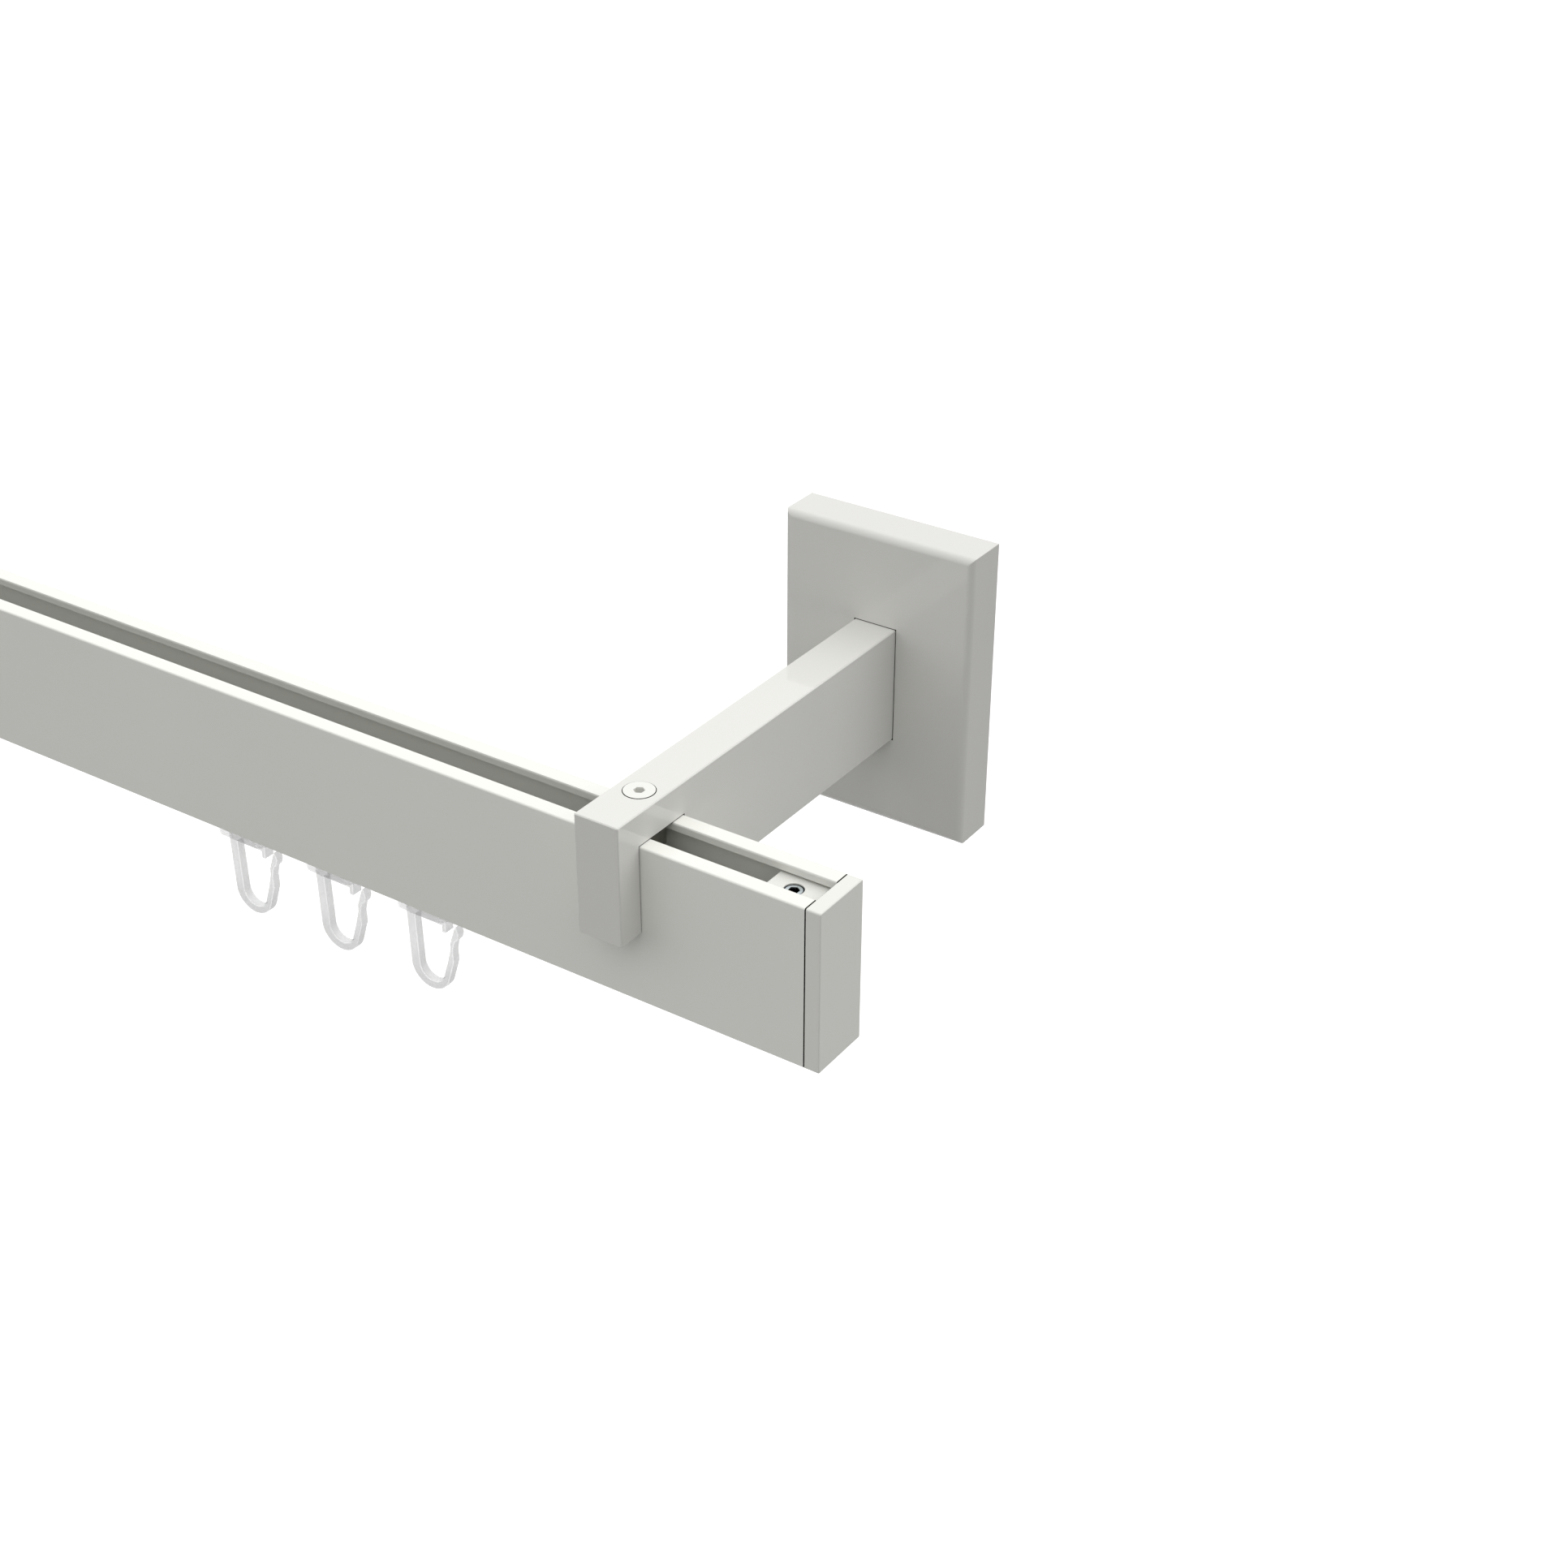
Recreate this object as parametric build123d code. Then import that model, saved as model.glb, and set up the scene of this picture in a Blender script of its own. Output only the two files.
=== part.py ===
from build123d import *
import math
import os

# A wall-mounted curtain track: a flat rectangular aluminium rail with an open slot along
# its top for the brackets and end caps, and a slot along its bottom in which small
# plastic gliders run. The origin is on the wall, midway between the two brackets and
# midway between the upper and lower wall screw holes. +X runs along the rail, +Y points
# into the wall and +Z is up. All sizes are in millimetres.

# Rail
rail_length = 1000.0
rail_width = 14.0
rail_height = 35.0
rail_wall = 1.4
rail_web = 1.2
rail_corner_r = 0.4
top_slot_width = 6.7
top_lip = 1.6
top_channel_depth = 6.0
glider_slot_width = 6.0
glider_lip = 1.5
glider_channel_height = 6.0
rail_to_wall = 92.4

# End caps
cap_gap = 0.25
cap_thickness = 3.15
cap_corner_r = 0.4
cap_rim_bevel = 0.15
tongue_length = 12.2
tongue_thickness = 2.7
tongue_drop = 0.6
tongue_side_clearance = 0.2
cap_screw_d = 4.0
cap_screw_recess = 0.2
cap_screw_from_end = 6.9
cap_screw_hex = 2.0
cap_screw_hex_depth = 2.2

# Bracket arms
bracket_from_end = 41.3
arm_width = 10.0
arm_height = 26.0
arm_bridge = 7.0
arm_front_leg = 6.1
arm_bevel = 0.2
notch_clearance = 0.15
clamp_screw_d = 3.0
clamp_screw_head_d = 6.2
clamp_screw_land = 0.25
clamp_screw_hex = 2.0
clamp_screw_hex_depth = 1.3
clamp_screw_proud = 0.08
screw_clearance = 0.15
countersink_angle = 90.0

# Slot nuts
nut_length = 6.2
nut_width = 8.8
nut_thickness = 3.6
nut_corner = 0.5

# Wall plates
wall_plate_thickness = 6.5
wall_plate_edge_gap = 3.0
arm_seat_depth = 1.5
arm_seat_clearance = 0.1
wall_plate_corner_r = 3.0
wall_hole_d = 5.5
wall_hole_spacing = 42.0
arm_bolt_d = 5.0
arm_bolt_head_d = 8.5
arm_bolt_head_height = 2.8
arm_bolt_depth = 14.0
arm_bolt_end_clearance = 1.0
arm_bolt_hex = 3.0
arm_bolt_hex_depth = 1.8
arm_bolt_recess = 0.3

# Wall covers
cover_width = 45.5
cover_height = 67.0
cover_depth = 10.3
cover_wall = 1.6
cover_edge_r = 1.5
cover_window_clearance = 0.15
cover_boss_width = 9.0
cover_boss_clearance = 0.5
cover_screw_d = 4.0
cover_screw_hex = 2.0
cover_screw_hex_depth = 2.0
cover_screw_from_wall = 3.2
cover_screw_recess = 0.4

# Gliders
plate_length = 13.3
plate_width = 9.0
plate_thickness = 2.2
plate_gap = 1.4
plate_corner_r = 2.0
neck_width = 4.8
neck_corner = 0.8
head_length = 5.6
head_width = 10.2
head_height = 2.4
head_corner = 1.2
head_bevel = 0.5
running_clearance = 0.05
rib_height = 3.0
rib_width = 2.6
tooth_length = 0.95
tooth_drop = 1.65
tooth_reach = 9.85
hook_width = 2.0
hook_drop = 24.05
hook_leg = 2.25
hook_leg_lean = 0.35
bend_thickness = 1.9
bend_outer_r = 5.15
bend_inner_r = 3.3
free_leg_angle = 71.0

# The hook's springy free end, as (x, z) steps from the end of its outer bend
free_end_outside = [(1.7, 5.2), (1.65, 8.2), (2.25, 10.55), (3.1, 11.4), (3.6, 12.9)]
free_end_tip = (2.9, 14.6)
free_end_inside = [(2.45, 13.8), (1.15, 10.05), (1.03, 8.3), (-0.05, 4.5)]
free_end_wave_r = 1.2

# Where the gliders stand, measured from the rail's right-hand end
glider_spacing = 25.35
end_group_start = 95.6
end_group_count = 3
middle_count = 4

# Places worked out from the sizes above
arm_top = arm_height / 2
rail_top = arm_top - arm_bridge
rail_bottom = rail_top - rail_height
rail_y = -rail_to_wall
rail_end = rail_length / 2
bracket_x = rail_end - bracket_from_end
rail_inner_width = rail_width - 2 * rail_wall
lip_underside = rail_top - top_lip
channel_floor = lip_underside - top_channel_depth
glider_floor = rail_bottom + glider_lip
plate_top = rail_bottom - plate_gap
plate_bottom = plate_top - plate_thickness
arm_end = wall_plate_thickness - arm_seat_depth
wall_plate_width = cover_width - 2 * (cover_wall + wall_plate_edge_gap)
wall_plate_height = cover_height - 2 * (cover_wall + wall_plate_edge_gap)


def box_between(x, y, z):
    """A block between two corners, given as (low, high) pairs."""
    size = [high - low for low, high in (x, y, z)]
    middle = [(low + high) / 2 for low, high in (x, y, z)]
    return Pos(*middle) * Box(*size)


def rod_along_z(diameter, low, high):
    """An upright round bar between two heights."""
    return Pos(0, 0, (low + high) / 2) * Cylinder(diameter / 2, high - low)


def turned(*half_outline):
    """A turned piece from (radius, height) points, which begin and end on its axis."""
    outline = make_face(Polyline(*half_outline, close=True))
    return revolve(Plane.XZ * outline, Axis.Z)


def hex_socket(across_flats, low, high):
    """The space of a hexagon key, with corners at 30 degrees to the rail."""
    corner_r = across_flats / 2 / math.cos(math.radians(30))
    outline = Rot(0, 0, 30) * RegularPolygon(corner_r, 6)
    return Pos(0, 0, low) * extrude(outline, amount=high - low)


def countersunk_body(d, head_d, land, length):
    """A countersunk screw's outline, or its hole's, below a head that is flush at z = 0."""
    cone_height = (head_d - d) / 2 / math.tan(math.radians(countersink_angle / 2))
    neck = -land - cone_height
    return turned(
        (0, 0), (head_d / 2, 0), (head_d / 2, -land), (d / 2, neck),
        (d / 2, -length), (0, -length),
    )


def grub_screw(d, low, high, hex_size, hex_depth):
    """A headless screw with a socket in its top."""
    return rod_along_z(d, low, high) - hex_socket(hex_size, high - hex_depth, high)


def section_block(width, low, high):
    """A rectangle of the rail's section: across the rail, and between two heights."""
    return Pos(0, (low + high) / 2) * Rectangle(width, high - low)


def rail_section():
    """The extruded section: a bracket channel on top, a hollow, and a glider channel."""
    outline = section_block(rail_width, rail_bottom, rail_top)
    glider_top = glider_floor + glider_channel_height
    top_channel = section_block(rail_inner_width, channel_floor, lip_underside)
    hollow = section_block(rail_inner_width, glider_top + rail_web, channel_floor - rail_web)
    glider_channel = section_block(rail_inner_width, glider_floor, glider_top)
    top_slot = section_block(top_slot_width, lip_underside, rail_top)
    low_slot = section_block(glider_slot_width, rail_bottom, glider_floor)
    section = outline - top_channel - hollow - glider_channel - top_slot - low_slot
    face_corners = [
        corner
        for corner in section.vertices()
        if min(abs(corner.Y - rail_top), abs(corner.Y - rail_bottom)) < rail_corner_r
    ]
    return fillet(face_corners, rail_corner_r)


def rail_profile():
    """The rail: the section drawn along its whole length."""
    across = Plane(origin=(-rail_end, rail_y, 0), x_dir=(0, 1, 0), z_dir=(1, 0, 0))
    return extrude(across * rail_section(), amount=rail_length)


def end_cap():
    """The right-hand cap: a plate the size of the rail, with a tongue for the channel."""
    inner_face = rail_end + cap_gap
    outer_face = inner_face + cap_thickness
    plate = box_between(
        (inner_face, outer_face),
        (rail_y - rail_width / 2, rail_y + rail_width / 2),
        (rail_bottom, rail_top),
    )
    plate = fillet(plate.edges().filter_by(Axis.X), cap_corner_r)
    plate = chamfer(plate.faces().sort_by(Axis.X)[-1].edges(), cap_rim_bevel)
    tongue_half = rail_inner_width / 2 - tongue_side_clearance
    tongue_top = lip_underside - tongue_drop
    tongue = box_between(
        (rail_end - tongue_length, inner_face),
        (rail_y - tongue_half, rail_y + tongue_half),
        (tongue_top - tongue_thickness, tongue_top),
    )
    hole = rod_along_z(cap_screw_d, tongue_top - 2 * tongue_thickness, rail_top)
    return plate + tongue - Pos(rail_end - cap_screw_from_end, rail_y, 0) * hole


def cap_screw():
    """The grub screw that stands on the channel's floor and jams the tongue."""
    screw = grub_screw(
        cap_screw_d - 2 * running_clearance,
        channel_floor + running_clearance,
        lip_underside - tongue_drop - cap_screw_recess,
        cap_screw_hex,
        cap_screw_hex_depth,
    )
    return Pos(rail_end - cap_screw_from_end, rail_y, 0) * screw


def bracket_arm():
    """The right-hand arm: a flat bar whose notch hangs over the rail."""
    front = rail_y - rail_width / 2 - notch_clearance - arm_front_leg
    bar = box_between(
        (-arm_width / 2, arm_width / 2),
        (front, -arm_end),
        (-arm_height / 2, arm_top),
    )
    outer_edges = bar.edges().filter_by(Axis.Y) + bar.faces().sort_by(Axis.Y)[0].edges()
    bar = chamfer(outer_edges, arm_bevel)
    half_notch = rail_width / 2 + notch_clearance
    notch = box_between(
        (-arm_width, arm_width),
        (rail_y - half_notch, rail_y + half_notch),
        (-arm_height, rail_top),
    )
    screw_hole = countersunk_body(
        clamp_screw_d + 2 * screw_clearance,
        clamp_screw_head_d + 2 * screw_clearance,
        clamp_screw_land - clamp_screw_proud,
        arm_bridge,
    )
    arm = bar - notch - Pos(0, rail_y, arm_top) * screw_hole
    arm -= Rot(90, 0, 0) * rod_along_z(arm_bolt_d, 0, arm_end + arm_bolt_depth)
    return Pos(bracket_x, 0, 0) * arm


def clamp_screw():
    """The countersunk screw in the arm's top, which pulls the slot nut up."""
    screw = countersunk_body(
        clamp_screw_d,
        clamp_screw_head_d,
        clamp_screw_land,
        arm_bridge + top_lip + nut_thickness + clamp_screw_proud,
    )
    screw -= hex_socket(clamp_screw_hex, -clamp_screw_hex_depth, 0)
    return Pos(bracket_x, rail_y, arm_top + clamp_screw_proud) * screw


def slot_nut():
    """A steel nut that drops in through the slot and is held by the lips once turned."""
    nut_bottom = lip_underside - nut_thickness
    block = box_between(
        (-nut_length / 2, nut_length / 2),
        (-nut_width / 2, nut_width / 2),
        (nut_bottom, lip_underside),
    )
    block = chamfer(block.edges().filter_by(Axis.Z), nut_corner)
    tapped = rod_along_z(clamp_screw_d + 2 * running_clearance, nut_bottom, lip_underside)
    return Pos(bracket_x, rail_y, 0) * (block - tapped)


def wall_plate():
    """The hidden plate that is screwed to the wall, with a shallow seat for the arm's end."""
    outline = RectangleRounded(wall_plate_width, wall_plate_height, wall_plate_corner_r)
    plate = extrude(Plane.XZ * outline, amount=wall_plate_thickness)
    wall_hole = Rot(90, 0, 0) * rod_along_z(wall_hole_d, 0, wall_plate_thickness)
    for z in (-wall_hole_spacing / 2, wall_hole_spacing / 2):
        plate -= Pos(0, 0, z) * wall_hole
    bolt_hole = rod_along_z(arm_bolt_d + 2 * screw_clearance, 0, wall_plate_thickness)
    bolt_hole += rod_along_z(
        arm_bolt_head_d + 2 * screw_clearance, 0, arm_bolt_recess + arm_bolt_head_height
    )
    arm_seat = box_between(
        (-arm_width / 2 - arm_seat_clearance, arm_width / 2 + arm_seat_clearance),
        (-wall_plate_thickness, -arm_end),
        (-arm_height / 2 - arm_seat_clearance, arm_height / 2 + arm_seat_clearance),
    )
    return Pos(bracket_x, 0, 0) * (plate - Rot(90, 0, 0) * bolt_hole - arm_seat)


def arm_bolt():
    """The low-headed screw that pulls the arm into its seat, put in from behind."""
    head_end = arm_bolt_recess + arm_bolt_head_height
    head = rod_along_z(arm_bolt_head_d, arm_bolt_recess, head_end)
    shank_end = arm_end + arm_bolt_depth - arm_bolt_end_clearance
    shank = rod_along_z(arm_bolt_d - 2 * running_clearance, head_end, shank_end)
    key = hex_socket(arm_bolt_hex, arm_bolt_recess, arm_bolt_recess + arm_bolt_hex_depth)
    return Pos(bracket_x, 0, 0) * Rot(90, 0, 0) * (head + shank - key)


def wall_cover():
    """The hollow cover over the wall plate, with a window for the arm."""
    shell = box_between(
        (-cover_width / 2, cover_width / 2),
        (-cover_depth, 0),
        (-cover_height / 2, cover_height / 2),
    )
    shell = fillet(shell.faces().sort_by(Axis.Y)[0].edges(), cover_edge_r)
    shell -= box_between(
        (-cover_width / 2 + cover_wall, cover_width / 2 - cover_wall),
        (-cover_depth + cover_wall, cover_depth),
        (-cover_height / 2 + cover_wall, cover_height / 2 - cover_wall),
    )
    boss_top = -wall_plate_height / 2 - cover_boss_clearance
    shell += box_between(
        (-cover_boss_width / 2, cover_boss_width / 2),
        (-cover_depth + cover_wall, -cover_boss_clearance),
        (-cover_height / 2 + cover_wall, boss_top),
    )
    window = box_between(
        (-arm_width / 2 - cover_window_clearance, arm_width / 2 + cover_window_clearance),
        (-2 * cover_depth, -cover_depth / 2),
        (-arm_height / 2 - cover_window_clearance, arm_top + cover_window_clearance),
    )
    tapped = Pos(0, -cover_screw_from_wall, 0) * rod_along_z(
        cover_screw_d, -cover_height, boss_top
    )
    return Pos(bracket_x, 0, 0) * (shell - window - tapped)


def cover_screw():
    """The grub screw that comes up through the cover and grips the wall plate's edge."""
    screw = grub_screw(
        cover_screw_d - 2 * running_clearance,
        wall_plate_height / 2 + running_clearance,
        cover_height / 2 - cover_screw_recess,
        cover_screw_hex,
        cover_screw_hex_depth,
    )
    return Pos(bracket_x, -cover_screw_from_wall, 0) * Rot(180, 0, 0) * screw


def hook_outline():
    """The hook, seen from the front: a firm leg, a tapering bend and a springy free end."""
    leg_x = -plate_length / 2 + hook_leg_lean
    bend_low = rail_bottom - hook_drop
    outer_centre = (leg_x + bend_outer_r, bend_low + bend_outer_r)
    inner_centre = (
        leg_x + hook_leg + bend_inner_r,
        bend_low + bend_thickness + bend_inner_r,
    )
    outer_bend = CenterArc(outer_centre, bend_outer_r, 180, 90 + free_leg_angle)
    inner_bend = CenterArc(inner_centre, bend_inner_r, 180, 90 + free_leg_angle)
    bend_end = outer_bend @ 1
    tip = bend_end + Vector(*free_end_tip)
    outside = FilletPolyline(
        bend_end,
        *[bend_end + Vector(*step) for step in free_end_outside],
        tip,
        radius=free_end_wave_r,
    )
    inside = FilletPolyline(
        *[bend_end + Vector(*step) for step in free_end_inside],
        inner_bend @ 1,
        radius=free_end_wave_r,
    )
    leg = Polyline(
        inner_bend @ 0,
        (-plate_length / 2 + hook_leg, plate_bottom),
        (-plate_length / 2, plate_bottom),
        outer_bend @ 0,
    )
    return make_face([outer_bend, outside, Line(tip, inside @ 0), inside, inner_bend, leg])


def glider():
    """One glider, moulded in one piece and standing at x = 0 under the rail."""
    head_low = glider_floor + running_clearance
    head = box_between(
        (-head_length / 2, head_length / 2),
        (-head_width / 2, head_width / 2),
        (head_low, head_low + head_height),
    )
    head = chamfer(head.edges().filter_by(Axis.Z), head_corner)
    head = chamfer(head.faces().sort_by(Axis.Z)[-1].edges(), head_bevel)
    neck = box_between(
        (-neck_width / 2, neck_width / 2),
        (-neck_width / 2, neck_width / 2),
        (plate_top, head_low),
    )
    neck = chamfer(neck.edges().filter_by(Axis.Z), neck_corner)
    plate = box_between(
        (-plate_length / 2, plate_length / 2),
        (-plate_width / 2, plate_width / 2),
        (plate_bottom, plate_top),
    )
    plate = fillet(plate.edges().filter_by(Axis.Z), plate_corner_r)
    tooth_end = -plate_length / 2 + tooth_reach + tooth_length
    rib = box_between(
        (-plate_length / 2 + hook_leg / 2, tooth_end),
        (-rib_width / 2, rib_width / 2),
        (plate_bottom - rib_height, plate_bottom),
    )
    tooth = box_between(
        (tooth_end - tooth_length, tooth_end),
        (-rib_width / 2, rib_width / 2),
        (plate_bottom - rib_height - tooth_drop, plate_bottom),
    )
    upright = Plane(origin=(0, hook_width / 2, 0), x_dir=(1, 0, 0), z_dir=(0, -1, 0))
    hook = extrude(upright * hook_outline(), amount=hook_width)
    return Pos(0, rail_y, 0) * (head + neck + plate + rib + tooth + hook)


def glider_places():
    """A group of gliders near each end of the rail, and a few spread between them."""
    end_group = [
        rail_end - end_group_start - i * glider_spacing for i in range(end_group_count)
    ]
    inner = end_group[-1]
    gap = 2 * inner / (middle_count + 1)
    middle = [inner - (i + 1) * gap for i in range(middle_count)]
    return end_group + middle + [-x for x in reversed(end_group)]


def mirrored(shape):
    """The left-hand copy of a piece at the rail's right-hand end."""
    return mirror(shape, about=Plane.YZ)


pieces = {"rail_profile": rail_profile()}
for name, make in (
    ("end_cap", end_cap),
    ("end_cap_screw", cap_screw),
    ("bracket_arm", bracket_arm),
    ("clamp_screw", clamp_screw),
    ("slot_nut", slot_nut),
    ("wall_plate", wall_plate),
    ("arm_bolt", arm_bolt),
    ("wall_cover", wall_cover),
    ("cover_screw", cover_screw),
):
    right = make()
    pieces[name + "_right"] = right
    pieces[name + "_left"] = mirrored(right)

one_glider = glider()
for number, x in enumerate(glider_places(), start=1):
    pieces[f"glider_{number:02d}"] = Pos(x, 0, 0) * one_glider

os.makedirs("parts", exist_ok=True)
for name, shape in pieces.items():
    export_step(shape, f"parts/{name}.step")
    print(name, len(shape.solids()), round(shape.volume, 2))
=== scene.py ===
import math

import bmesh
import bpy
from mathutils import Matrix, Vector


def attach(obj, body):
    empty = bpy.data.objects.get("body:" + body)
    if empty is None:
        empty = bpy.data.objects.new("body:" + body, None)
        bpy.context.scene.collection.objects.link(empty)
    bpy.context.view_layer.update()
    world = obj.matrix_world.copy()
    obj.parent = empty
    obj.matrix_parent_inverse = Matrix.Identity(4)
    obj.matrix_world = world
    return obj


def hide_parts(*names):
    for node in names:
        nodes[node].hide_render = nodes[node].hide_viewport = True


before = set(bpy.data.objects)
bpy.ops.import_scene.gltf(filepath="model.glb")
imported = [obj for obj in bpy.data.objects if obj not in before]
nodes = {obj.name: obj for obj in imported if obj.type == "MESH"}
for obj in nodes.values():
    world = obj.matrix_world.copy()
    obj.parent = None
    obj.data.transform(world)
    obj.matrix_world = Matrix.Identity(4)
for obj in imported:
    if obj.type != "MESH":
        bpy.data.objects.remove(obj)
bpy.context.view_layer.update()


# The rail.
# A flat aluminium section, pressed through a die and powder coated white, with the same fine
# orange peel on its faces and lips. Shade is painted into the channels, darker by the brackets
# and lighter on the lips beyond them, and near black on the ends, in the joint with the caps.

MM = 0.001
rail_end = 500.0 * MM
rail_y = -92.4 * MM
rail_top = 6.0 * MM
rail_bottom = -29.0 * MM
rail_inner_half = 5.6 * MM
lip_thickness = 1.6 * MM
bracket_x = 458.7 * MM


class Value:
    """A node's output that takes part in sums and products, and adds the Math nodes for them."""

    def __init__(self, paint, socket):
        self.paint, self.socket = paint, socket

    def _math(self, operation, a, b):
        return self.paint.node("ShaderNodeMath", {"operation": operation}, {0: a, 1: b})

    def __add__(self, other):
        return self._math("ADD", self, other)

    __radd__ = __add__

    def __sub__(self, other):
        return self._math("SUBTRACT", self, other)

    def __rsub__(self, other):
        return self._math("SUBTRACT", other, self)

    def __mul__(self, other):
        return self._math("MULTIPLY", self, other)

    __rmul__ = __mul__

    def __and__(self, other):
        return self._math("MINIMUM", self, other)

    def __or__(self, other):
        return self._math("MAXIMUM", self, other)

    def __abs__(self):
        return self._math("ABSOLUTE", self, 0.0)

    def root(self):
        return self._math("SQRT", self, 0.0)

    def rising(self, start, full):
        """0 up to a start and 1 from a full value on, with a soft step between them."""
        return self.paint.node(
            "ShaderNodeMapRange", {"interpolation_type": "SMOOTHSTEP"},
            {"Value": self, "From Min": start, "From Max": full},
        )

    def above(self, edge, blur=0.01 * MM):
        return self.rising(edge - blur, edge + blur)

    def below(self, edge, blur=0.01 * MM):
        return 1 - self.above(edge, blur)


class Paint:
    """One node tree, of a material, the surroundings or a shape, that is filled node by node."""

    def __init__(self, tree, output):
        self.tree = tree
        self.tree.nodes.clear()
        self.output = self.tree.nodes.new(output)

    def node(self, kind, settings=None, inputs=None, out=0):
        """Adds a node, sets it up, fills its sockets and returns one of its outputs."""
        made = self.tree.nodes.new(kind)
        for key, value in (settings or {}).items():
            setattr(made, key, value)
        for key, value in (inputs or {}).items():
            if isinstance(value, Value):
                self.tree.links.new(value.socket, made.inputs[key])
            else:
                made.inputs[key].default_value = value
        return Value(self, made.outputs[out])

    def parts(self, vector):
        """The x, y and z of a vector."""
        split = self.node("ShaderNodeSeparateXYZ", None, {0: vector}).socket.node
        return [Value(self, part) for part in split.outputs]

    def noise(self, place, scale, detail, roughness=0.5):
        """Soft clouds between 0 and 1."""
        return self.node(
            "ShaderNodeTexNoise", None,
            {"Vector": place, "Scale": scale, "Detail": detail, "Roughness": roughness}, "Fac",
        )

    def bump(self, height, strength, distance, **under):
        """The direction of a surface that is made uneven."""
        return self.node(
            "ShaderNodeBump", None,
            {"Height": height, "Strength": strength, "Distance": distance, **under}, "Normal",
        )

    def blend(self, factor, first, second):
        """A colour between two, which are outputs of nodes or red, green and blue."""
        first, second = ((*c, 1) if isinstance(c, tuple) else c for c in (first, second))
        return self.node(
            "ShaderNodeMix", {"data_type": "RGBA"}, {"Factor": factor, 6: first, 7: second}, 2
        )

    def finish(self, result):
        self.tree.links.new(result.socket, self.output.inputs[0])


def new_material(name):
    """An empty material, and the node tree that it is painted with."""
    material = bpy.data.materials.new(name)
    material.use_nodes = True
    return material, Paint(material.node_tree, "ShaderNodeOutputMaterial")


# The near black that painted shade on the coats is drawn towards.
painted_shade_grey = (0.035, 0.035, 0.03)
darkest_cloud = 0.965


def powder_coat(name, colour, roughness, peel, edge_r, shade_mask):
    """White powder coat, flowed into a faint orange peel, with shade painted towards near black
    where the mask says.
    """
    material, paint = new_material(name)
    place = paint.node("ShaderNodeTexCoord", out="Object")
    ripple = paint.noise(place, scale=700.0, detail=2.0, roughness=0.45)
    cloud = paint.noise(place, scale=26.0, detail=3.0)
    softened = paint.node("ShaderNodeBevel", {"samples": 4}, {"Radius": edge_r}, "Normal")
    clouded = paint.blend(cloud, colour, tuple(darkest_cloud * c for c in colour))
    surface = paint.node(
        "ShaderNodeBsdfPrincipled", None,
        {
            "Base Color": paint.blend(shade_mask(*paint.parts(place)), clouded, painted_shade_grey),
            "Roughness": roughness * (0.85 + 0.3 * cloud),
            "IOR": 1.5,
            "Normal": paint.bump(ripple, peel, 0.02 * MM, Normal=softened),
        },
        "BSDF",
    )
    paint.finish(surface)
    return material


def dress(piece, material):
    """Gives a piece its finish."""
    piece.data.materials.clear()
    piece.data.materials.append(material)


# How far a mask reaches past the face that it is for.
mask_reach = 0.02 * MM


def rail_painted_shade(x, y, z):
    """How much shade is painted on the rail: in its channels, less on the lips beyond the brackets,
    and full on its ends.
    """
    in_channels, less_on_lips = 0.35, 0.15
    inside = abs(y - rail_y).below(rail_inner_half + 0.1 * MM)
    # from the nearer of the rail's top and bottom
    depth = (rail_top - z) & (z - rail_bottom)
    near_end = abs(x).rising(bracket_x - 2 * MM, bracket_x + 8 * MM) * depth.below(lip_thickness)
    channel_shade = (in_channels - less_on_lips * near_end) * inside * depth.above(0.05 * MM)
    # the rail's end faces, in the joint with the caps, get near-black painted shade
    return channel_shade | abs(x).above(rail_end - 0.03 * MM)


rail_white = (0.915, 0.918, 0.865)
rail_coat = powder_coat(
    "rail_coat", rail_white, roughness=0.16, peel=0.10, edge_r=0.08 * MM, shade_mask=rail_painted_shade
)
dress(nodes["rail_profile"], rail_coat)


# The end caps.
# Small die-cast plates with a tongue for the channel, coated like the rail but a little more
# matt. A zinc plated grub screw with a hexagon socket jams each tongue in place.

cap_inner_face = 500.25 * MM
cap_screw_x = 493.1 * MM
cap_screw_top = 3.6 * MM
cap_screw_r = 2.0 * MM


def cap_joint_shade(x, y, z):
    """The cap's inner face, painted near black as shade in the joint against the rail's end."""
    return abs(x).above(rail_end + mask_reach) * abs(x).below(cap_inner_face + mask_reach)


cap_white = (0.83, 0.832, 0.785)
cap_coat = powder_coat(
    "cap_coat", cap_white, roughness=0.5, peel=0.14, edge_r=0.15 * MM, shade_mask=cap_joint_shade
)
# The dark that zinc mottles towards at random, and that painted shade is drawn in.
mottle_and_shade_dark = (0.02, 0.025, 0.03)


def zinc(name, colour, roughness, painted_shade=None):
    """Bright zinc plating, faintly mottled, and darkened with painted shade where a mask is given.
    """
    material, paint = new_material(name)
    place = paint.node("ShaderNodeTexCoord", out="Object")
    mottle = paint.noise(place, scale=900.0, detail=4.0)
    darkened = painted_shade(*paint.parts(place)) if painted_shade else 0.3 * mottle
    surface = paint.node(
        "ShaderNodeBsdfPrincipled", None,
        {
            "Base Color": paint.blend(darkened, colour, mottle_and_shade_dark),
            "Metallic": 1.0,
            "Roughness": roughness * (0.7 + 0.6 * mottle),
            "Normal": paint.bump(mottle, 0.15, 0.02 * MM),
        },
        "BSDF",
    )
    paint.finish(surface)
    return material


def from_axis(x, y, axis_x):
    """The distance from the upright axis of a screw, at either end of the rail."""
    off_x, off_y = abs(x) - axis_x, y - rail_y
    return (off_x * off_x + off_y * off_y).root()


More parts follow.
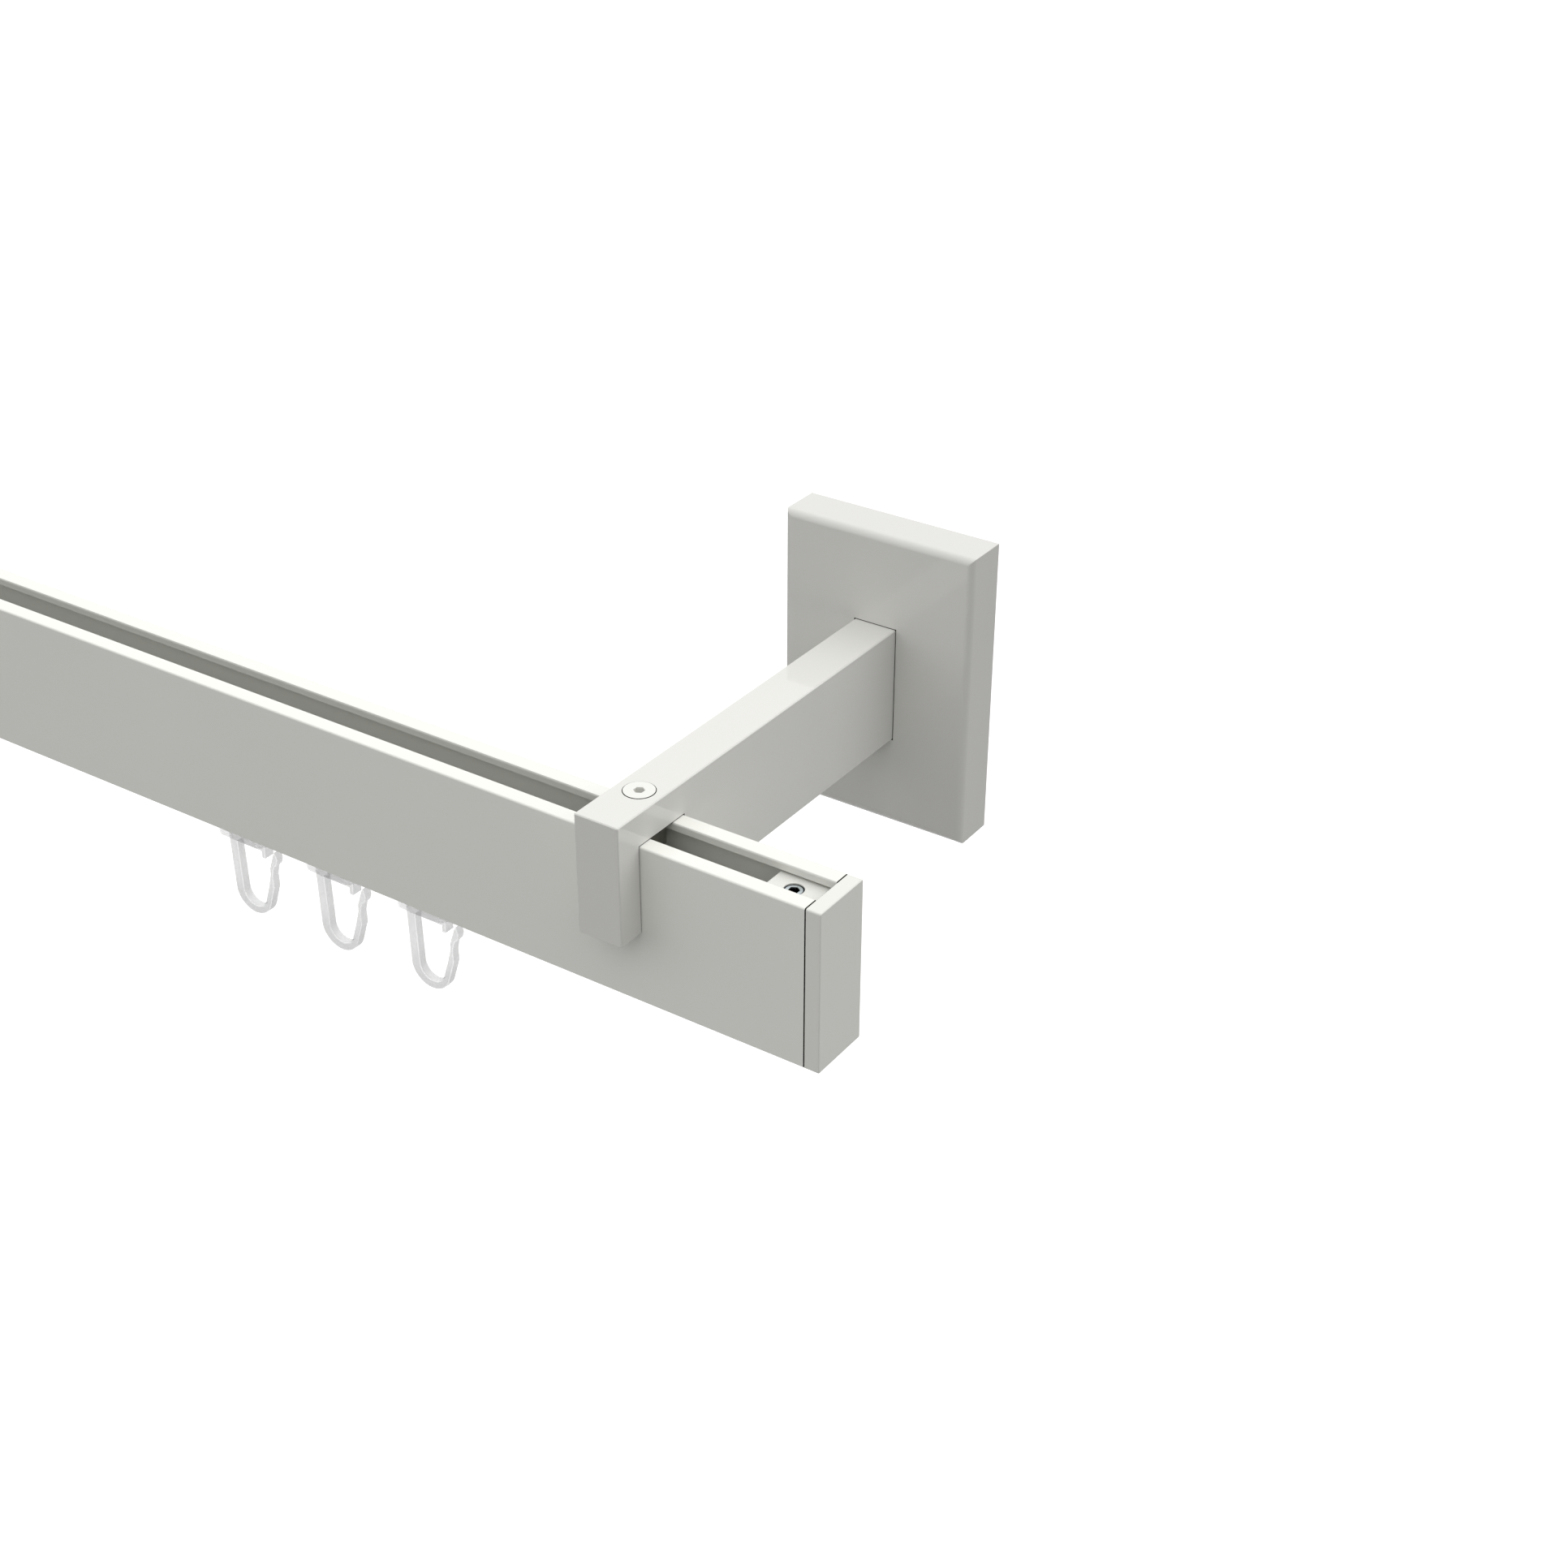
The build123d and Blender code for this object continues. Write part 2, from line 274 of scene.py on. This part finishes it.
def grub_shade(x, y, z):
    """Painted shade on the thread's rim, in the hole round the screw, and inside the socket."""
    rim = from_axis(x, y, cap_screw_x).above(cap_screw_r - 0.35 * MM, 0.08 * MM)
    return rim | z.below(cap_screw_top - 0.3 * MM)


screw_zinc = zinc("screw_zinc", (0.62, 0.66, 0.68), roughness=0.3)
grub_zinc = zinc("grub_zinc", (0.62, 0.68, 0.71), roughness=0.3, painted_shade=grub_shade)
for end in ("right", "left"):
    dress(nodes["end_cap_" + end], cap_coat)
    dress(nodes["end_cap_screw_" + end], grub_zinc)


def thread_tree():
    """Winds a fine right-handed ridge round an upright shank, and one at the other end."""
    tree = bpy.data.node_groups.new("rolled_thread", "GeometryNodeTree")
    sizes = ("Radius", "Ridge", "Length", "Turns", "Start", "Spread", "Lean", "Metal")
    kinds = ("Float", "Float", "Float", "Float", "Vector", "Vector", "Vector", "Material")
    for size, kind in zip(sizes, kinds):
        tree.interface.new_socket(size, in_out="INPUT", socket_type="NodeSocket" + kind)
    tree.interface.new_socket("Thread", in_out="OUTPUT", socket_type="NodeSocketGeometry")
    shape = Paint(tree, "NodeGroupOutput")
    given = {size: shape.node("NodeGroupInput", out=size) for size in sizes}
    winding = shape.node(
        "GeometryNodeCurveSpiral", None,
        {
            "Resolution": 20,
            "Rotations": given["Turns"],
            "Start Radius": given["Radius"],
            "End Radius": given["Radius"],
            "Height": given["Length"],
            "Reverse": True,
        },
    )
    section = shape.node(
        "GeometryNodeCurvePrimitiveCircle", None, {"Resolution": 4, "Radius": given["Ridge"]}
    )
    ridge = shape.node(
        "GeometryNodeCurveToMesh", None,
        {"Curve": winding, "Profile Curve": section, "Fill Caps": True},
    )
    both_ends = shape.node(
        "GeometryNodeMeshLine", {"mode": "OFFSET"},
        {"Count": 2, "Start Location": given["Start"], "Offset": given["Spread"]},
    )
    pair = shape.node(
        "GeometryNodeInstanceOnPoints", None,
        {"Points": both_ends, "Instance": ridge, "Rotation": given["Lean"]},
    )
    whole = shape.node("GeometryNodeRealizeInstances", None, {"Geometry": pair})
    shape.finish(
        shape.node("GeometryNodeSetMaterial", None, {"Geometry": whole, "Material": given["Metal"]})
    )
    return tree


rolled_thread = thread_tree()


# Corners that lie closer together than this are one.
same_point = 0.001 * MM


def settle(piece):
    """Gives a piece the mesh that its modifiers make, with its faces turned outward."""
    evaluated = piece.evaluated_get(bpy.context.evaluated_depsgraph_get())
    mesh = bpy.data.meshes.new_from_object(evaluated)
    piece.modifiers.clear()
    piece.data = mesh
    shape = bmesh.new()
    shape.from_mesh(mesh)
    bmesh.ops.remove_doubles(shape, verts=shape.verts, dist=same_point)
    bmesh.ops.recalc_face_normals(shape, faces=shape.faces)
    shape.to_mesh(mesh)
    shape.free()


def wind_thread(name, metal, shank_r, ridge, length, pitch, start, lean=0):
    """The rolled thread of one kind of screw, on the right-hand and the left-hand one."""
    piece = bpy.data.objects.new(name, bpy.data.meshes.new(name))
    bpy.context.scene.collection.objects.link(piece)
    winding = piece.modifiers.new("winding", "NODES")
    winding.node_group = rolled_thread
    chosen = {
        "Radius": shank_r,
        "Ridge": ridge,
        "Length": length,
        "Turns": length / pitch,
        "Start": start,
        "Spread": (-2 * start[0], 0.0, 0.0),
        "Lean": (math.radians(lean), 0.0, 0.0),
        "Metal": metal,
    }
    for item in rolled_thread.interface.items_tree:
        if item.in_out == "INPUT":
            winding[item.identifier] = chosen[item.name]
    settle(piece)
    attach(piece, "track")


wind_thread(
    "cap_screw_threads", grub_zinc, shank_r=cap_screw_r - 0.11 * MM, ridge=0.14 * MM,
    length=4.7 * MM, pitch=0.7 * MM, start=(cap_screw_x, rail_y, -1.4 * MM),
)


# The brackets.
# Sawn and milled aluminium bars, coated in a glossier white. A white countersunk screw goes
# down through each one into a plain steel nut that lies under the rail's lips.

arm_top = 13.0 * MM
cover_front = -10.3 * MM
clamp_head_r = 3.1 * MM
notch_half = 7.15 * MM
shade_margin = 0.17 * MM


def arm_painted_shade(x, y, z):
    """Painted shade on the arm: in its screw hole, along its notch on the rail, and on its end
    inside the cover.
    """
    beside_hole = from_axis(x, y, bracket_x).below(clamp_head_r + shade_margin)
    hole = beside_hole * z.below(arm_top - mask_reach)
    notch = abs(y - rail_y).below(notch_half + mask_reach) * z.below(rail_top + shade_margin)
    return hole | notch | y.above(cover_front + 0.05 * MM)


def head_painted_shade(x, y, z):
    """Painted shade on the side of the screw's head, in its gap in the hole, and lighter in its
    socket.
    """
    socket = 0.2 * z.below(arm_top - 0.2 * MM)
    return from_axis(x, y, bracket_x).above(clamp_head_r - mask_reach) | socket


arm_white = (0.79, 0.787, 0.75)
arm_coat = powder_coat(
    "arm_coat", arm_white, roughness=0.025, peel=0.02, edge_r=0.07 * MM, shade_mask=arm_painted_shade
)
head_white = (0.86, 0.86, 0.82)
head_coat = powder_coat(
    "head_coat", head_white, roughness=0.05, peel=0.03, edge_r=0.08 * MM, shade_mask=head_painted_shade
)
# The nut's steel is set dark and olive as painted shade, for the arm's shadow that it lies in.
nut_steel = zinc("nut_steel", (0.30, 0.30, 0.26), roughness=0.5)
for end in ("right", "left"):
    dress(nodes["bracket_arm_" + end], arm_coat)
    dress(nodes["clamp_screw_" + end], head_coat)
    dress(nodes["slot_nut_" + end], nut_steel)
wind_thread(
    "clamp_screw_threads", screw_zinc, shank_r=1.44 * MM, ridge=0.12 * MM,
    length=5.5 * MM, pitch=0.5 * MM, start=(bracket_x, rail_y, 0.95 * MM),
)


# The wall fixings.
# Pressed steel plates, zinc plated, with the arm's bolt from behind. The covers are thin
# cast shells in the same glossy white as the arms, each held by one grub screw from below.
# Their colour is set a little darker than the arms' as painted shade.

plate_zinc = zinc("plate_zinc", (0.62, 0.64, 0.66), roughness=0.45)
window_half_width = 5.15 * MM
window_half_height = 13.15 * MM


def cover_window_shade(x, y, z):
    """Painted shade on the edges of the opening for the arm, in the gap round it."""
    beside = abs(abs(x) - bracket_x).below(window_half_width + mask_reach)
    return beside * abs(z).below(window_half_height + mask_reach)


# darker than the arms' white: painted shade
cover_shaded_white = (0.735, 0.732, 0.70)
cover_coat = powder_coat(
    "cover_coat", cover_shaded_white, roughness=0.03, peel=0.03, edge_r=0.2 * MM, shade_mask=cover_window_shade
)
for end in ("right", "left"):
    dress(nodes["wall_plate_" + end], plate_zinc)
    dress(nodes["arm_bolt_" + end], screw_zinc)
    dress(nodes["wall_cover_" + end], cover_coat)
    dress(nodes["cover_screw_" + end], screw_zinc)
wind_thread(
    "arm_bolt_threads", screw_zinc, shank_r=2.39 * MM, ridge=0.16 * MM,
    length=11.6 * MM, pitch=0.8 * MM, start=(bracket_x, -6.0 * MM, 0.0), lean=90,
)
wind_thread(
    "cover_screw_threads", screw_zinc, shank_r=1.89 * MM, ridge=0.14 * MM,
    length=3.8 * MM, pitch=0.7 * MM, start=(bracket_x, -3.2 * MM, -32.9 * MM),
)


# The gliders.
# Injection moulded in one piece from a milky, slippery plastic that lets some light through.
# Every edge left the mould slightly round.

glider_edge_r = 0.3 * MM


def milky_plastic(name, colour):
    """A smooth plastic that holds back more light low in the hook, and less along round edges,
    which paints a highlight there.
    """
    material, paint = new_material(name)
    place = paint.node("ShaderNodeTexCoord", out="Object")
    flow = paint.noise(place, scale=260.0, detail=2.0)
    backside = paint.node("ShaderNodeNewGeometry", out="Backfacing")
    facing = paint.parts(paint.node("ShaderNodeNewGeometry", out="True Normal"))
    side = abs(facing[1])
    # 1 on the round edges, and 0 on the flat sides and on the faces between them
    rounded_edge = side.above(0.15, 0.1) * side.below(0.98, 0.015)
    below_rail = rail_bottom - paint.parts(place)[2]
    hook = below_rail.rising(1.5 * MM, 8 * MM)
    bend = below_rail.rising(13 * MM, 22 * MM)
    # the round edges let more through, so they show as light lines: a painted highlight
    cloudy = (0.5 + 0.11 * hook + 0.13 * bend - 0.06 * side) * (1 - 0.3 * rounded_edge)
    surface = paint.node(
        "ShaderNodeBsdfPrincipled", None,
        {
            "Base Color": (*colour, 1),
            "Roughness": 0.2 + 0.15 * flow,
            "IOR": 1.48,
            "Alpha": cloudy * (1 - backside),
            "Normal": paint.bump(flow, 0.05, 0.05 * MM),
        },
        "BSDF",
    )
    paint.finish(surface)
    return material


glider_plastic = milky_plastic("glider_plastic", (0.78, 0.785, 0.78))


def rounded_copy(node, name, radius):
    """A copy of a node's mesh, merged, with its flat faces joined and its edges rounded."""
    mesh = nodes[node].data.copy()
    shape = bmesh.new()
    shape.from_mesh(mesh)
    bmesh.ops.remove_doubles(shape, verts=shape.verts, dist=2 * same_point)
    bmesh.ops.dissolve_limit(
        shape, angle_limit=math.radians(1), verts=shape.verts, edges=shape.edges
    )
    bmesh.ops.recalc_face_normals(shape, faces=shape.faces)
    shape.to_mesh(mesh)
    shape.free()
    piece = bpy.data.objects.new(name, mesh)
    bpy.context.scene.collection.objects.link(piece)
    bevel = piece.modifiers.new("edges", "BEVEL")
    bevel.width = radius
    bevel.segments = 3
    bevel.limit_method = "ANGLE"
    bevel.angle_limit = math.radians(35)
    for face in mesh.polygons:
        face.use_smooth = True
    settle(piece)
    return piece


for node in sorted(n for n in nodes if n.startswith("glider_")):
    piece = rounded_copy(node, node + "_moulding", glider_edge_r)
    dress(piece, glider_plastic)
    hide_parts(node)
    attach(piece, node)


# The room.
# A pale floor far below the track, and soft light from a ceiling, a panel over the wall and
# large screens all round.

floor_z = -2.0
floor_half = 60.0
corners = [(-1, -1), (1, -1), (1, 1), (-1, 1)]
floor_mesh = bpy.data.meshes.new("floor")
floor_mesh.from_pydata(
    [(x * floor_half, y * floor_half, floor_z) for x, y in corners], [], [(0, 1, 2, 3)]
)
floor = bpy.data.objects.new("floor", floor_mesh)
bpy.context.scene.collection.objects.link(floor)

# Mirrored in the coats, the floor is white near its middle and dark farther out.
mirrored_reach = 2.6
mirrored_fade = 0.6


def ray_kinds(paint):
    """Whether a ray is the camera's own, comes from a mirrored place, or went through a piece."""
    kinds = ("Is Camera Ray", "Is Glossy Ray", "Is Transmission Ray")
    return [paint.node("ShaderNodeLightPath", out=kind) for kind in kinds]


floor_material, paint = new_material("floor_paint")
seen, mirrored, through = ray_kinds(paint)
spot = paint.node("ShaderNodeTexCoord", out="Object")
from_middle = paint.node("ShaderNodeVectorMath", {"operation": "LENGTH"}, {0: spot}, "Value")
shadowed = paint.node("ShaderNodeBsdfDiffuse", None, {"Color": (0.22, 0.22, 0.22, 1)})
pale = paint.node("ShaderNodeBsdfDiffuse", None, {"Color": (0.9, 0.9, 0.9, 1)})
lift = paint.node("ShaderNodeEmission", None, {"Color": (1, 1, 1, 1), "Strength": 0.2})
bright = paint.node("ShaderNodeAddShader", None, {0: pale, 1: lift})
whitened = seen + through + mirrored * from_middle.below(mirrored_reach, mirrored_fade)
paint.finish(paint.node("ShaderNodeMixShader", None, {0: whitened, 1: shadowed, 2: bright}))
floor_mesh.materials.append(floor_material)

world = bpy.data.worlds.new("surroundings")
bpy.context.scene.world = world
world.use_nodes = True
paint = Paint(world.node_tree, "ShaderNodeOutputWorld")
direction = paint.node("ShaderNodeTexCoord", out="Generated")
lamps = [
    # azimuth and elevation in degrees, where the lamp starts and is full, and its strength
    (0, 90, 0.5, 0.97, 0.78),
    (123.7, 30.5, 0.9, 0.97, 0.85),
    (79, 45, 0.64, 0.985, 0.91),
    (34, 45, 0.64, 0.985, 0.52),
    (34, 12, 0.64, 0.985, 0.69),
    (-56, 45, 0.64, 0.985, 0.69),
    (259, 45, 0.64, 0.985, 0.23),
    (214, 12, 0.64, 0.985, 1.10),
]
light = 0
for azimuth, elevation, start, full, strength in lamps:
    across = math.cos(math.radians(elevation))
    towards = (
        math.cos(math.radians(azimuth)) * across,
        math.sin(math.radians(azimuth)) * across,
        math.sin(math.radians(elevation)),
    )
    nearness = paint.node(
        "ShaderNodeVectorMath", {"operation": "DOT_PRODUCT"}, {0: direction, 1: towards}, "Value"
    )
    light = strength * nearness.rising(start, full) + light
sky = paint.node("ShaderNodeBackground", None, {"Color": (1, 1, 1, 1), "Strength": light})
white = paint.node("ShaderNodeBackground", None, {"Color": (1, 1, 1, 1), "Strength": 1.0})
seen, mirrored, through = ray_kinds(paint)
whitened = seen + mirrored + through
paint.finish(paint.node("ShaderNodeMixShader", None, {0: whitened, 1: sky, 2: white}))


# The camera.
# It stands in front of the right-hand end and a little above the rail, tilted by a hair, and
# looks along the rail towards the wall.

camera_place = Vector((694.16, -396.79, 241.04)) * MM
camera_azimuth = math.radians(33.741)
camera_elevation = math.radians(30.547)
camera_roll = 0.0045021
focal_px = 2979.71
frame_px = 1932
sensor = 36.0

camera_data = bpy.data.cameras.new("camera")
camera_data.sensor_width = sensor
camera_data.sensor_fit = "HORIZONTAL"
camera_data.lens = sensor * focal_px / frame_px
camera_data.clip_end = 500.0
camera = bpy.data.objects.new("camera", camera_data)
bpy.context.scene.collection.objects.link(camera)
forward = Vector((
    -math.sin(camera_azimuth) * math.cos(camera_elevation),
    math.cos(camera_azimuth) * math.cos(camera_elevation),
    -math.sin(camera_elevation),
))
level_right = forward.cross(Vector((0, 0, 1))).normalized()
level_up = level_right.cross(forward)
right = math.cos(camera_roll) * level_right + math.sin(camera_roll) * level_up
up = math.cos(camera_roll) * level_up - math.sin(camera_roll) * level_right
turn = camera.matrix_world.to_3x3()
turn.col[0], turn.col[1], turn.col[2] = right, up, -forward
camera.matrix_world = turn.to_4x4()
camera.location = camera_place
bpy.context.scene.camera = camera
bpy.context.scene.view_settings.view_transform = "Standard"
